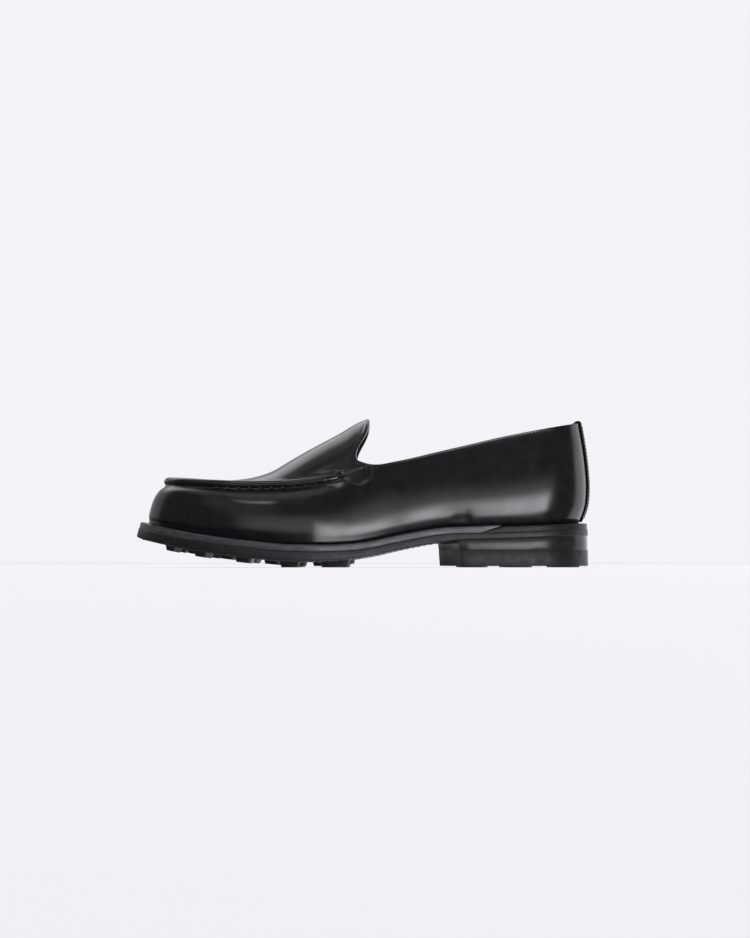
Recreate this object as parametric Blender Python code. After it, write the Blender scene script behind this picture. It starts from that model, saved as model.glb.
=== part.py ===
"""A venetian loafer for the left foot, built as a shoemaker builds it: welted upper, rubber sole and heel.

Metres, +Z up. The toe points to -X and the outer side of the foot faces -Y. Inside this file a place along
the shoe is a station, the distance forward from the back of the sole, and a place across it is positive
towards the inner side. The origin is on the floor, midway along the shoe and midway across the sole.
"""

import math
from collections import namedtuple

import bmesh
import bpy
from mathutils import Vector

# Driving sizes
SOLE_LENGTH = 0.300
HEEL_WIDTH = 0.0700
WAIST_WIDTH = 0.0725
BALL_WIDTH = 0.1065
TOE_WIDTH = 0.0900
TOE_SWING = 0.0050
HEEL_HEIGHT = 0.0210
TOE_SPRING = 0.0205
BACK_OVERHANG = 0.0013
GAP = 0.0003

# Sole and heel layers
WELT_THICKNESS = 0.0038
OUTSOLE_EDGE_BALL = 0.0060
OUTSOLE_EDGE_WAIST = 0.0049
OUTSOLE_EDGE_HEEL = 0.0038
OUTSOLE_BELLY = 0.0009
RIM_WIDTH = 0.0115
STUD_HEIGHT = 0.0032
STUD_STEP = 0.0008
EDGE_CHAMFER = 0.0005
INSOLE_RISE = 0.0028
TOP_PIECE_HEIGHT = 0.0112
PAD_HEIGHT = 0.0008
HEEL_LENGTH = 0.0880
BREAST_SWING = 0.0105
BREAST_HOLLOW = 0.0030
BREAST_SLANT = 0.0015

# Welt and the rand that carries on from it round the heel
WELT_TAIL = 0.0600
WELT_SKIVE = 0.0140
WELT_TAIL_RISE = 0.0012

# Upper
WALL = 0.0022
FEATHER_INSET = 0.0058
QUARTER_LOW_STATION = 0.1386
QUARTER_LOW_HEIGHT = 0.0663
QUARTER_BACK_HEIGHT = 0.0952
TONGUE_HEIGHT = 0.0982
APRON_TOE_HEIGHT = 0.0550
APRON_TOE_STATION = 0.2785
APRON_WIDTH = 0.0680
COLLAR_WIDTH = 0.0560
SEAM_WIDTH = 0.0024
SEAM_TAPER = 0.0008
SEAM_HEIGHT = 0.0021
SEAM_END_STATION = 0.1600
SEAM_FADE = 0.0110

# Back strip
STRIP_WIDTH = 0.0200
STRIP_THICKNESS = 0.0012
STRIP_TURN_IN = 0.0050

# Centres from which the sections fan out round the heel and the toe
HEEL_FAN_STATION = 0.0340
TOE_FAN_STATION = 0.2440
HEEL_FAN_STEPS = 9
TOE_FAN_STEPS = 12
COLLAR_STEPS = 14
APRON_STEPS = 15
TIP = 0.00004

# Share of the sole's length; width there; share of the width on the outer side
SOLE_PLAN = (
    (0.00, HEEL_WIDTH * 0.98, 0.505),
    (0.15, HEEL_WIDTH, 0.510),
    (0.30, HEEL_WIDTH * 1.01, 0.518),
    (0.40, WAIST_WIDTH, 0.552),
    (0.50, WAIST_WIDTH * 0.40 + BALL_WIDTH * 0.485, 0.560),
    (0.62, BALL_WIDTH * 0.935, 0.533),
    (0.72, BALL_WIDTH, 0.507),
    (0.82, BALL_WIDTH * 0.972, 0.485),
    (0.92, TOE_WIDTH * 1.04, 0.460),
    (1.00, TOE_WIDTH, 0.500 - TOE_SWING / TOE_WIDTH),
)

# Share of the sole's length; share of the heel's rise and of the toe's rise over the ball, at the sole's edge
SOLE_PROFILE = (
    (0.00, 1.000, 0.000),
    (0.16, 0.870, 0.000),
    (0.29, 0.800, 0.000),
    (0.34, 0.690, 0.000),
    (0.42, 0.430, 0.000),
    (0.47, 0.235, 0.000),
    (0.53, 0.070, 0.000),
    (0.60, 0.000, 0.000),
    (0.66, 0.000, 0.020),
    (0.73, 0.000, 0.140),
    (0.85, 0.000, 0.420),
    (0.95, 0.000, 0.780),
    (1.00, 0.000, 1.000),
)

# Share of the sole's length; thickness of the outsole's edge; share of the belly under it
OUTSOLE_LAYERS = (
    (0.00, OUTSOLE_EDGE_HEEL, 0.0),
    (0.25, OUTSOLE_EDGE_HEEL, 0.0),
    (0.34, OUTSOLE_EDGE_WAIST, 0.0),
    (0.46, OUTSOLE_EDGE_WAIST, 1.0),
    (0.62, OUTSOLE_EDGE_BALL, 1.0),
    (1.00, OUTSOLE_EDGE_BALL, 1.0),
)

# Share of the sole's length; half width of the upper's top line or apron on the outer and on the inner side
TOP_PLAN = (
    (0.00, COLLAR_WIDTH * 0.45, COLLAR_WIDTH * 0.45),
    (0.14, COLLAR_WIDTH * 0.46, COLLAR_WIDTH * 0.45),
    (0.26, COLLAR_WIDTH * 0.48, COLLAR_WIDTH * 0.47),
    (0.36, COLLAR_WIDTH * 0.52, COLLAR_WIDTH * 0.50),
    (0.46, APRON_WIDTH * 0.475, APRON_WIDTH * 0.445),
    (0.55, APRON_WIDTH * 0.500, APRON_WIDTH * 0.455),
    (0.66, APRON_WIDTH * 0.515, APRON_WIDTH * 0.485),
    (0.76, APRON_WIDTH * 0.500, APRON_WIDTH * 0.505),
    (0.86, APRON_WIDTH * 0.450, APRON_WIDTH * 0.510),
    (0.96, APRON_WIDTH * 0.400, APRON_WIDTH * 0.480),
)

# Share of the sole's length; share of the rise from the quarter's low point to its back
QUARTER_TOP = (
    (0.016, 1.000),
    (0.065, 0.900),
    (0.120, 0.790),
    (0.193, 0.640),
    (0.265, 0.465),
    (0.338, 0.285),
    (0.404, 0.120),
    (0.462, 0.000),
)

# Share of the sole's length; share of the fall from the quarter's low point to the apron's lowest seam
SEAM_TOP = (
    (0.462, 0.00),
    (0.500, 0.20),
    (0.547, 0.58),
    (0.565, 0.70),
    (0.613, 0.86),
    (0.662, 0.97),
    (0.740, 1.00),
    (0.820, 0.93),
    (0.880, 0.82),
    (0.930, 0.72),
)
APRON_SEAM_LOW = 0.0517

# Share of the sole's length; share of the rise of the instep from the apron's toe to the tongue's tip
CROWN = (
    (0.470, 1.020),
    (0.490, 1.000),
    (0.500, 0.975),
    (0.518, 0.915),
    (0.547, 0.790),
    (0.582, 0.660),
    (0.626, 0.495),
    (0.668, 0.332),
    (0.702, 0.212),
    (0.753, 0.126),
    (0.813, 0.085),
)

# Share of the sole's length; how far the side stands inside the sole's edge, at what height over the welt,
# the slope in degrees with which it reaches the top, and the pull of that end of the curve
SIDE_FORM = (
    (0.00, -0.0013, 0.0260, 100.0, 0.36),
    (0.04, -0.0002, 0.0240, 98.0, 0.36),
    (0.14, 0.0022, 0.0190, 96.0, 0.36),
    (0.30, 0.0026, 0.0150, 99.0, 0.36),
    (0.42, 0.0030, 0.0130, 104.0, 0.36),
    (0.50, 0.0036, 0.0120, 108.0, 0.38),
    (0.58, 0.0040, 0.0120, 130.0, 0.42),
    (0.70, 0.0042, 0.0110, 150.0, 0.46),
    (0.85, 0.0042, 0.0090, 150.0, 0.46),
    (1.00, 0.0042, 0.0070, 148.0, 0.46),
)

# Degrees round the instep from the apron's seam; station of the tongue's edge
TONGUE_EDGE = (
    (0.0, QUARTER_LOW_STATION),
    (4.0, QUARTER_LOW_STATION + 0.0070),
    (9.0, QUARTER_LOW_STATION + 0.0117),
    (19.0, QUARTER_LOW_STATION + 0.0151),
    (27.0, QUARTER_LOW_STATION + 0.0149),
    (38.0, QUARTER_LOW_STATION + 0.0112),
    (52.0, QUARTER_LOW_STATION + 0.0078),
    (68.0, QUARTER_LOW_STATION + 0.0069),
    (90.0, QUARTER_LOW_STATION + 0.0067),
)
ARCH_COLUMNS = (0.0, 5.0, 12.0, 21.0, 32.0, 45.0, 60.0, 75.0, 90.0)

# Station of a block's middle, its length along the edge and its width across, on the outer side
EDGE_BLOCKS = (
    (0.2735, 0.0080, 0.0100),
    (0.2522, 0.0095, 0.0115),
    (0.2250, 0.0110, 0.0125),
    (0.1955, 0.0132, 0.0125),
    (0.1670, 0.0180, 0.0120),
)

# Station and place across of a round stud, and its radius
ROUND_STUDS = (
    (0.2620, 0.0040, 0.0050),
    (0.2380, -0.0130, 0.0058),
    (0.2380, 0.0170, 0.0058),
    (0.2240, 0.0020, 0.0058),
    (0.2080, -0.0170, 0.0058),
    (0.2080, 0.0190, 0.0058),
    (0.1920, 0.0010, 0.0058),
    (0.1760, -0.0190, 0.0058),
    (0.1760, 0.0140, 0.0058),
    (0.1600, -0.0040, 0.0058),
)

# Station, place across and radius of a heel stud
HEEL_STUDS = tuple(
    (station, side * across, 0.0095)
    for station, across in ((0.0165, 0.0145), (0.0480, 0.0190), (0.0770, 0.0200))
    for side in (-1, 1)
)

Spoke = namedtuple("Spoke", "station across out_station out_across")


class Curve:
    """A smooth curve through two columns of a table; it never overshoots the rows."""

    def __init__(self, rows, column):
        self.x = [row[0] for row in rows]
        self.y = [row[column] for row in rows]
        slopes = [
            (y2 - y1) / (x2 - x1)
            for x1, x2, y1, y2 in zip(self.x, self.x[1:], self.y, self.y[1:])
        ]
        inner = [2 * a * b / (a + b) if a * b > 0 else 0.0 for a, b in zip(slopes, slopes[1:])]
        self.slope = [slopes[0], *inner, slopes[-1]]

    def __call__(self, x):
        if x <= self.x[0]:
            return self.y[0]
        if x >= self.x[-1]:
            return self.y[-1]
        i = max(k for k, start in enumerate(self.x) if start <= x)
        span = self.x[i + 1] - self.x[i]
        t = (x - self.x[i]) / span
        rise = self.y[i] * (1 + 2 * t) * (1 - t) ** 2 + self.y[i + 1] * t * t * (3 - 2 * t)
        return rise + span * (self.slope[i] * t * (1 - t) ** 2 - self.slope[i + 1] * t * t * (1 - t))


class Outline:
    """An outline seen from above, with a round cap at its back and at its front.

    fullness is the power of the caps: 2 is an ellipse, more is fuller.
    """

    def __init__(self, outer, inner, back, front, back_cap, front_cap, fullness):
        self.outer = outer
        self.inner = inner
        self.back = back
        self.front = front
        self.back_cap = back_cap
        self.front_cap = front_cap
        self.fullness = fullness

    def cap(self, station):
        """How much of the full width is left here by the round ends."""
        left = 1.0
        for distance, length in (
            (station - self.back, self.back_cap),
            (self.front - station, self.front_cap),
        ):
            into = 1 - min(max(distance, 0.0), length) / length
            left *= (1 - into**self.fullness) ** (1 / self.fullness)
        return left

    def sides(self, station):
        """Places across of the outer and of the inner edge."""
        share = station / SOLE_LENGTH
        outer, inner = self.outer(share), self.inner(share)
        middle, half = (inner - outer) / 2, (inner + outer) / 2 * self.cap(station)
        return middle - half, middle + half

    def holds(self, station, across):
        if not self.back <= station <= self.front:
            return False
        low, high = self.sides(station)
        return low <= across <= high

    def reach(self, spoke):
        """Distance from a spoke's centre to where it leaves the outline."""
        near, far = 0.0, SOLE_LENGTH
        for _ in range(40):
            middle = (near + far) / 2
            if self.holds(*along(spoke, middle)):
                near = middle
            else:
                far = middle
        return near


def along(spoke, distance):
    """Station and place across at a distance out on a spoke."""
    return spoke.station + spoke.out_station * distance, spoke.across + spoke.out_across * distance


sole_width = Curve(SOLE_PLAN, 1)
sole_outer_share = Curve(SOLE_PLAN, 2)
SOLE = Outline(
    lambda share: sole_width(share) * sole_outer_share(share),
    lambda share: sole_width(share) * (1 - sole_outer_share(share)),
    back=0.0,
    front=SOLE_LENGTH,
    back_cap=HEEL_WIDTH * 0.54,
    front_cap=BALL_WIDTH * 0.72,
    fullness=2.2,
)
TOP = Outline(
    Curve(TOP_PLAN, 1),
    Curve(TOP_PLAN, 2),
    back=0.0048,
    front=APRON_TOE_STATION,
    back_cap=COLLAR_WIDTH * 0.52,
    front_cap=APRON_WIDTH * 0.62,
    fullness=2.1,
)
heel_rise = Curve(SOLE_PROFILE, 1)
toe_rise = Curve(SOLE_PROFILE, 2)
edge_thickness = Curve(OUTSOLE_LAYERS, 1)
belly_share = Curve(OUTSOLE_LAYERS, 2)
quarter_top = Curve(QUARTER_TOP, 1)
seam_top = Curve(SEAM_TOP, 1)
crown_rise = Curve(CROWN, 1)
tongue_edge = Curve(TONGUE_EDGE, 1)
side_inset, side_height, side_slope, side_pull = (Curve(SIDE_FORM, column) for column in (1, 2, 3, 4))

BALL_EDGE_HEIGHT = STUD_HEIGHT + OUTSOLE_BELLY


def sole_edge_height(station):
    """Height of the sole's lower edge over the floor."""
    share = station / SOLE_LENGTH
    return (
        BALL_EDGE_HEIGHT
        + (HEEL_HEIGHT - BALL_EDGE_HEIGHT) * heel_rise(share)
        + (TOE_SPRING - BALL_EDGE_HEIGHT) * toe_rise(share)
    )


def sole_tilt(station):
    """Angle of the sole's side profile, positive where it rises towards the toe."""
    step = SOLE_LENGTH * 0.01
    low, high = max(station - step, 0.0), min(station + step, SOLE_LENGTH)
    return math.atan2(sole_edge_height(high) - sole_edge_height(low), high - low)


def extent_of(outline):
    """The furthest places across of an outline."""
    sides = [outline.sides(SOLE_LENGTH * i / 400) for i in range(401)]
    return min(low for low, _ in sides), max(high for _, high in sides)


MIDDLE_STATION = (SOLE_LENGTH - BACK_OVERHANG) / 2
MIDDLE_ACROSS = sum(extent_of(SOLE)) / 2


def place(station, across, height):
    """A point in the frame of the part."""
    return Vector((MIDDLE_STATION - station, across - MIDDLE_ACROSS, height))


def on_sole(station, across, up):
    """A point over the sole's lower edge, measured square to the sole's side profile."""
    tilt = sole_tilt(station)
    return place(
        station - up * math.sin(tilt), across, sole_edge_height(station) + up * math.cos(tilt)
    )


def outsole_top(station):
    return edge_thickness(station / SOLE_LENGTH)


def welt_bottom(station):
    return outsole_top(station) + GAP


def welt_top(station):
    return welt_bottom(station) + WELT_THICKNESS


def straight_spoke(station, side):
    """A spoke square across the shoe; side is -1 for the outer and 1 for the inner side."""
    share = min(max((station - HEEL_FAN_STATION) / (TOE_FAN_STATION - HEEL_FAN_STATION), 0.0), 1.0)
    return Spoke(station, TOE_SWING * share * share, 0.0, side)


def heel_spoke(step, side):
    """A spoke of the fan round the heel, from the back round to the side."""
    angle = math.pi / 2 * step / HEEL_FAN_STEPS
    return Spoke(HEEL_FAN_STATION, 0.0, -math.cos(angle), side * math.sin(angle))


def toe_spoke(step, side):
    """A spoke of the fan round the toe, from the side round to the tip."""
    angle = math.pi / 2 * step / TOE_FAN_STEPS
    return Spoke(TOE_FAN_STATION, TOE_SWING, math.sin(angle), side * math.cos(angle))


def stations(first, last, steps):
    return [first + (last - first) * i / steps for i in range(steps + 1)]


def half_ring(side):
    """Spokes from the back of the heel to the tip of the toe along one side."""
    return [
        *(heel_spoke(step, side) for step in range(HEEL_FAN_STEPS)),
        *(straight_spoke(s, side) for s in stations(HEEL_FAN_STATION, QUARTER_LOW_STATION, COLLAR_STEPS)),
        *(straight_spoke(s, side) for s in stations(QUARTER_LOW_STATION, TOE_FAN_STATION, APRON_STEPS)[1:]),
        *(toe_spoke(step, side) for step in range(1, TOE_FAN_STEPS + 1)),
    ]


def whole_ring():
    """Spokes all round, from the back along the outer side to the toe and back along the inner side."""
    return [*half_ring(-1), *reversed(half_ring(1)[1:-1])]


def material(name, colour, roughness):
    made = bpy.data.materials.new(name)
    made.use_nodes = True
    shader = made.node_tree.nodes["Principled BSDF"]
    shader.inputs["Base Color"].default_value = (*colour, 1.0)
    shader.inputs["Roughness"].default_value = roughness
    shader.inputs["Metallic"].default_value = 0.0
    return made


def collection_named(name):
    made = bpy.data.collections.new(name)
    bpy.context.scene.collection.children.link(made)
    return made


def solid(name, points, faces, finish, collection):
    """An object whose faces point outwards and whose doubles are merged."""
    mesh = bpy.data.meshes.new(name)
    shape = bmesh.new()
    corners = [shape.verts.new(point) for point in points]
    for face in faces:
        shape.faces.new([corners[i] for i in face])
    bmesh.ops.recalc_face_normals(shape, faces=shape.faces)
    shape.to_mesh(mesh)
    shape.free()
    mesh.shade_smooth()
    mesh.set_sharp_from_angle(angle=math.radians(40))
    mesh.materials.append(finish)
    made = bpy.data.objects.new(name, mesh)
    collection.objects.link(made)
    return made


def loft(name, sections, finish, collection):
    """A closed solid through sections with the same number of corners, its two end sections capped."""
    size = len(sections[0])
    points = [point for section in sections for point in section]
    faces = [tuple(range(size)), tuple(range(len(points) - size, len(points)))]
    for i in range(len(sections) - 1):
        for k in range(size):
            a, b = i * size + k, i * size + (k + 1) % size
            faces.append((a, b, b + size, a + size))
    return solid(name, points, faces, finish, collection)


def joined(target, pieces):
    """The target with the pieces fused on by Boolean unions."""
    for piece in pieces:
        union = target.modifiers.new("union", "BOOLEAN")
        union.operation = "UNION"
        union.object = piece
        piece.hide_render = True
        piece.display_type = "WIRE"


def plate_stations(first_cap, last_cap):
    """Stations along the sole, close together at the round ends."""
    heel = [first_cap * (1 - math.cos(math.pi / 2 * i / 8)) for i in range(9)]
    toe = [SOLE_LENGTH - last_cap * (1 - math.cos(math.pi / 2 * i / 12)) for i in range(13)]
    middle = stations(heel[-1], toe[-1], 24)[1:-1]
    return [TIP, *heel[1:], *middle, *reversed(toe[1:]), SOLE_LENGTH - TIP]


def outsole(finish, collection, helpers):
    """The moulded rubber sole: its edge, the belly under it, blocks round the edge and studs inside."""
    sections = []
    for station in plate_stations(SOLE.back_cap, SOLE.front_cap):
        low, high = SOLE.sides(station)
        half = (high - low) / 2
        chamfer = min(EDGE_CHAMFER, half * 0.4)
        rim = min(RIM_WIDTH, half * 0.7)
        belly = -OUTSOLE_BELLY * belly_share(station / SOLE_LENGTH) * rim / RIM_WIDTH
        top = outsole_top(station)
        sections.append(
            [
                on_sole(station, low + rim, belly),
                on_sole(station, low + chamfer, 0.0),
                on_sole(station, low, chamfer),
                on_sole(station, low, top - chamfer),
                on_sole(station, low + chamfer, top),
                on_sole(station, high - chamfer, top),
                on_sole(station, high, top - chamfer),
                on_sole(station, high, chamfer),
                on_sole(station, high - chamfer, 0.0),
                on_sole(station, high - rim, belly),
            ]
        )
    made = loft("outsole", sections, finish, collection)
    studs = [
        edge_block(f"block_{side}_{row}", station, length, width, side, helpers)
        for side in (-1, 1)
        for row, (station, length, width) in enumerate(EDGE_BLOCKS)
    ]
    studs += [
        round_stud(f"stud_{row}", station, across, radius, helpers)
        for row, (station, across, radius) in enumerate(ROUND_STUDS)
    ]
    joined(made, studs)
    return made


def stud_levels(station, short):
    """Height of a stud's foot over the floor, and of its root inside the sole."""
    under = sole_edge_height(station) - OUTSOLE_BELLY - STUD_HEIGHT
    foot = 0.0 if under < STUD_HEIGHT * 0.25 else under
    return foot + short, sole_edge_height(station) + outsole_top(station) * 0.5


def stud_from(name, foot, root, station, short, collection):
    """A block between a foot outline and a wider root outline, both lists of station and place across."""
    low, high = stud_levels(station, short)
    tilt = sole_tilt(station) if low > short else 0.0

    def corner(point, height):
        """A foot corner, turned with the sole where it rises towards the toe."""
        away = point[0] - station
        drop = math.sin(tilt) * (height - low)
        return place(station + away - drop, point[1], height + math.tan(tilt) * away)

    sections = [[corner(point, low) for point in foot], [corner(point, high) for point in root]]
    return loft(name, sections, None, collection)


def behind_rim(station, inset, side):
    """Place across, and direction of the edge, of the line that runs at an inset behind the sole's edge."""
    spokes = [straight_spoke(s, side) for s in stations(QUARTER_LOW_STATION, TOE_FAN_STATION, 60)]
    spokes += [toe_spoke(TOE_FAN_STEPS * i / 60, side) for i in range(1, 61)]
    line = [along(spoke, SOLE.reach(spoke) - inset) for spoke in spokes]
    i = min(range(1, len(line) - 1), key=lambda k: abs(line[k][0] - station))
    before, after = line[i - 1], line[i + 1]
    return line[i][1], math.atan2(after[1] - before[1], after[0] - before[0])


def edge_block(name, station, length, width, side, collection):
    """A block with a drafted side, lying along the sole's edge behind its stitched rim."""
    across, turn = behind_rim(station, RIM_WIDTH + width / 2, side)
    centre = (station, across)

    def outline(half_length, half_width):
        """A box with cut corners, turned to lie along the edge."""
        cut = min(half_length, half_width) * 0.35
        corners = []
        for sx, sy in ((1, 1), (-1, 1), (-1, -1), (1, -1)):
            pair = [
                (sx * half_length, sy * (half_width - cut)),
                (sx * (half_length - cut), sy * half_width),
            ]
            corners += pair if sx * sy > 0 else reversed(pair)
        return [
            (
                centre[0] + x * math.cos(turn) - y * math.sin(turn),
                centre[1] + x * math.sin(turn) + y * math.cos(turn),
            )
            for x, y in corners
        ]

    foot = outline(length / 2 - STUD_HEIGHT * 0.3, width / 2 - STUD_HEIGHT * 0.3)
    root = outline(length / 2 + STUD_HEIGHT * 0.5, width / 2 + STUD_HEIGHT * 0.5)
    return stud_from(name, foot, root, centre[0], 0.0, collection)


def circle(station, across, radius, corners=20):
    return [
        (
            station + radius * math.cos(2 * math.pi * i / corners),
            across + radius * math.sin(2 * math.pi * i / corners),
        )
        for i in range(corners)
    ]


def round_stud(name, station, across, radius, collection):
    foot = circle(station, across, radius - STUD_HEIGHT * 0.2)
    root = circle(station, across, radius + STUD_HEIGHT * 0.3)
    return stud_from(name, foot, root, station, STUD_STEP, collection)


def breast_station(share):
    """Where the heel ends in front, from its outer side (0) to its inner side (1)."""
    return HEEL_LENGTH + BREAST_SWING * share - BREAST_HOLLOW * 4 * share * (1 - share)


def heel_block(name, inset, bottom, top, slant_from, finish, collection):
    """A heel layer between two heights; slant_from gives how far its breast is set back there."""
    columns, rows = 8, 18
    cap = SOLE.back_cap
    grid = []
    for i in range(rows + 1):
        part = i / rows
        line = []
        for k in range(columns + 1):
            share = k / columns
            front = breast_station(share) - inset
            station = inset + TIP + (front - inset) * (1 - math.cos(math.pi / 2 * part)) ** 0.98
            low, high = SOLE.sides(max(station - inset, TIP))
            low, high = low + inset, high - inset
            line.append((min(station, front), low + (high - low) * share, part))
        grid.append(line)

    def layer(height_of, set_back):
        return [
            [place(s - set_back * part, y, height_of(s)) for s, y, part in line] for line in grid
        ]

    lower, upper = layer(bottom, slant_from(0)), layer(top, slant_from(1))
    return slab(name, lower, upper, finish, collection)


def slab(name, lower, upper, finish, collection):
    """A closed solid between two grids of points with the same rows and columns."""
    rows, columns = len(lower), len(lower[0])
    points = [p for line in lower for p in line] + [p for line in upper for p in line]
    shift = rows * columns

    def at(i, k):
        return i * columns + k

    faces = []
    for i in range(rows - 1):
        for k in range(columns - 1):
            quad = (at(i, k), at(i + 1, k), at(i + 1, k + 1), at(i, k + 1))
            faces.append(quad)
            faces.append(tuple(shift + index for index in reversed(quad)))
    rim = (
        [at(i, 0) for i in range(rows)]
        + [at(rows - 1, k) for k in range(1, columns)]
        + [at(i, columns - 1) for i in range(rows - 2, -1, -1)]
        + [at(0, k) for k in range(columns - 2, 0, -1)]
    )
    for a, b in zip(rim, rim[1:] + rim[:1]):
        faces.append((a, b, shift + b, shift + a))
    return solid(name, points, faces, finish, collection)


def heel(rubber, stack, collection, helpers):
    """The stacked lift under the sole and the rubber top piece under it, with its pads on the floor."""
    lift_bottom = TOP_PIECE_HEIGHT + GAP
    heel_block(
        "heel_lift",
        0.0004,
        lambda station: lift_bottom,
        lambda station: sole_edge_height(station) - GAP,
        lambda level: BREAST_SLANT * (0.5, 0.0)[level],
        stack,
        collection,
    )
    top_piece = heel_block(
        "heel_top_piece",
        0.0002,
        lambda station: PAD_HEIGHT,
        lambda station: TOP_PIECE_HEIGHT,
        lambda level: BREAST_SLANT * (1.0, 0.5)[level],
        rubber,
        collection,
    )
    pads = []
    for row, (station, across, radius) in enumerate(HEEL_STUDS):
        sections = [
            [place(s, y, 0.0) for s, y in circle(station, across, radius - PAD_HEIGHT * 0.4, 24)],
            [place(s, y, PAD_HEIGHT * 2) for s, y in circle(station, across, radius, 24)],
        ]
        pads.append(loft(f"heel_pad_{row}", sections, None, helpers))
    joined(top_piece, pads)


def edge_strip(name, pairs, rise, finish, collection):
    """A flat strip along the sole's edge; a pair holds the spokes of its lower and upper corners."""
    sections = []
    for lower, upper_spoke in pairs:
        reach, high_reach = SOLE.reach(lower), SOLE.reach(upper_spoke)
        inset = FEATHER_INSET + WALL + 2 * GAP
        chamfer = EDGE_CHAMFER
        low_out, low_in = along(lower, reach - GAP), along(lower, reach - inset)
        high_out = along(upper_spoke, high_reach - GAP)
        shoulder = along(upper_spoke, high_reach - GAP - chamfer)
        seat = along(upper_spoke, high_reach - FEATHER_INSET * 0.7)
        high_in = along(upper_spoke, high_reach - inset)
        lift = rise * tail_lift(high_out[0])
        sections.append(
            [
                on_sole(*low_out, welt_bottom(low_out[0])),
                on_sole(*high_out, welt_top(high_out[0]) - chamfer + lift),
                on_sole(*shoulder, welt_top(shoulder[0]) + lift),
                on_sole(*seat, welt_top(seat[0])),
                on_sole(*high_in, welt_top(high_in[0])),
                on_sole(*low_in, welt_bottom(low_in[0])),
            ]
        )
    return loft(name, sections, finish, collection)


def tail_lift(station):
    """Share of the welt's lift at a station: its outer edge rises where it lies over the rand."""
    away = (station - WELT_TAIL - WELT_SKIVE / 2) / WELT_SKIVE
    return max(0.0, 1 - away * away)


def welt(finish, collection):
    """The welt, from one side of the heel round the toe to the other, with slanted tails over the rand."""
    rest = stations(WELT_TAIL + WELT_SKIVE * 1.3, TOE_FAN_STATION, 22)
    tail = (WELT_TAIL + WELT_SKIVE, WELT_TAIL)
    outer = [(straight_spoke(s, -1),) * 2 for s in rest]
    outer += [(toe_spoke(step, -1),) * 2 for step in range(1, TOE_FAN_STEPS + 1)]
    inner = [(toe_spoke(step, 1),) * 2 for step in range(TOE_FAN_STEPS - 1, 0, -1)]
    inner += [(straight_spoke(s, 1),) * 2 for s in reversed(rest)]
    outer.insert(0, tuple(straight_spoke(s, -1) for s in tail))
    inner.append(tuple(straight_spoke(s, 1) for s in tail))
    return edge_strip("welt", outer + inner, WELT_TAIL_RISE, finish, collection)


def heel_rand(finish, collection):
    """The rand round the heel seat, whose slanted ends run under the welt's tails."""
    clear = GAP * WELT_SKIVE / WELT_THICKNESS
    rest = stations(WELT_TAIL - WELT_SKIVE * 0.3, HEEL_FAN_STATION, 6)
    tail = (WELT_TAIL + WELT_SKIVE - clear, WELT_TAIL - clear)
    outer = [(straight_spoke(s, -1),) * 2 for s in rest[:-1]]
    outer += [(heel_spoke(step, -1),) * 2 for step in range(HEEL_FAN_STEPS, -1, -1)]
    inner = [(heel_spoke(step, 1),) * 2 for step in range(1, HEEL_FAN_STEPS + 1)]
    inner += [(straight_spoke(s, 1),) * 2 for s in reversed(rest[:-1])]
    outer.insert(0, tuple(straight_spoke(s, -1) for s in tail))
    inner.append(tuple(straight_spoke(s, 1) for s in tail))
    return edge_strip("heel_rand", outer + inner, 0.0, finish, collection)


def insole(finish, collection):
    """The insole board with its filler, inside the welt, from the outsole up to the foot."""
    inset = FEATHER_INSET + WALL + 3 * GAP
    spokes = whole_ring()
    lower, upper, edge = [], [], []
    for spoke in spokes:
        point = along(spoke, SOLE.reach(spoke) - inset)
        lower.append(on_sole(*point, welt_bottom(point[0])))
        upper.append(on_sole(*point, welt_top(point[0]) + INSOLE_RISE - 2 * GAP))
        inward = along(spoke, SOLE.reach(spoke) - inset - 2 * GAP)
        edge.append(on_sole(*inward, welt_top(inward[0]) + INSOLE_RISE))
    count = len(spokes)
    points = lower + upper + edge
    faces = []
    for i in range(count):
        j = (i + 1) % count
        faces.append((i, j, count + j, count + i))
        faces.append((count + i, count + j, 2 * count + j, 2 * count + i))
    for shift in (0, 2 * count):
        pairs = [(i, (count - i) % count) for i in range(1, count // 2)]
        faces.append((shift, shift + 1, shift + count - 1))
        for (a, b), (c, d) in zip(pairs, pairs[1:]):
            faces.append((shift + a, shift + c, shift + d, shift + b))
        faces.append((shift + count // 2 - 1, shift + count // 2, shift + count // 2 + 1))
    return solid("insole", points, faces, finish, collection)


def top_height(station):
    """Height of the upper's top line behind its low point, and of the apron's seam in front of it."""
    share = station / SOLE_LENGTH
    if station <= QUARTER_LOW_STATION:
        return QUARTER_LOW_HEIGHT + (QUARTER_BACK_HEIGHT - QUARTER_LOW_HEIGHT) * quarter_top(share)
    return QUARTER_LOW_HEIGHT + (APRON_SEAM_LOW - QUARTER_LOW_HEIGHT) * seam_top(share)


def seam_share(station):
    """How much of the raised apron seam is left at a station: none on the quarter."""
    past = (station - SEAM_END_STATION) / SEAM_FADE
    return min(max(past, 0.0), 1.0)


def crown_height(station):
    return APRON_TOE_HEIGHT + (TONGUE_HEIGHT - APRON_TOE_HEIGHT) * crown_rise(station / SOLE_LENGTH)


def bezier(a, b, c, d, t):
    s = 1 - t
    return a * s**3 + b * (3 * s * s * t) + c * (3 * s * t * t) + d * t**3


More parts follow.
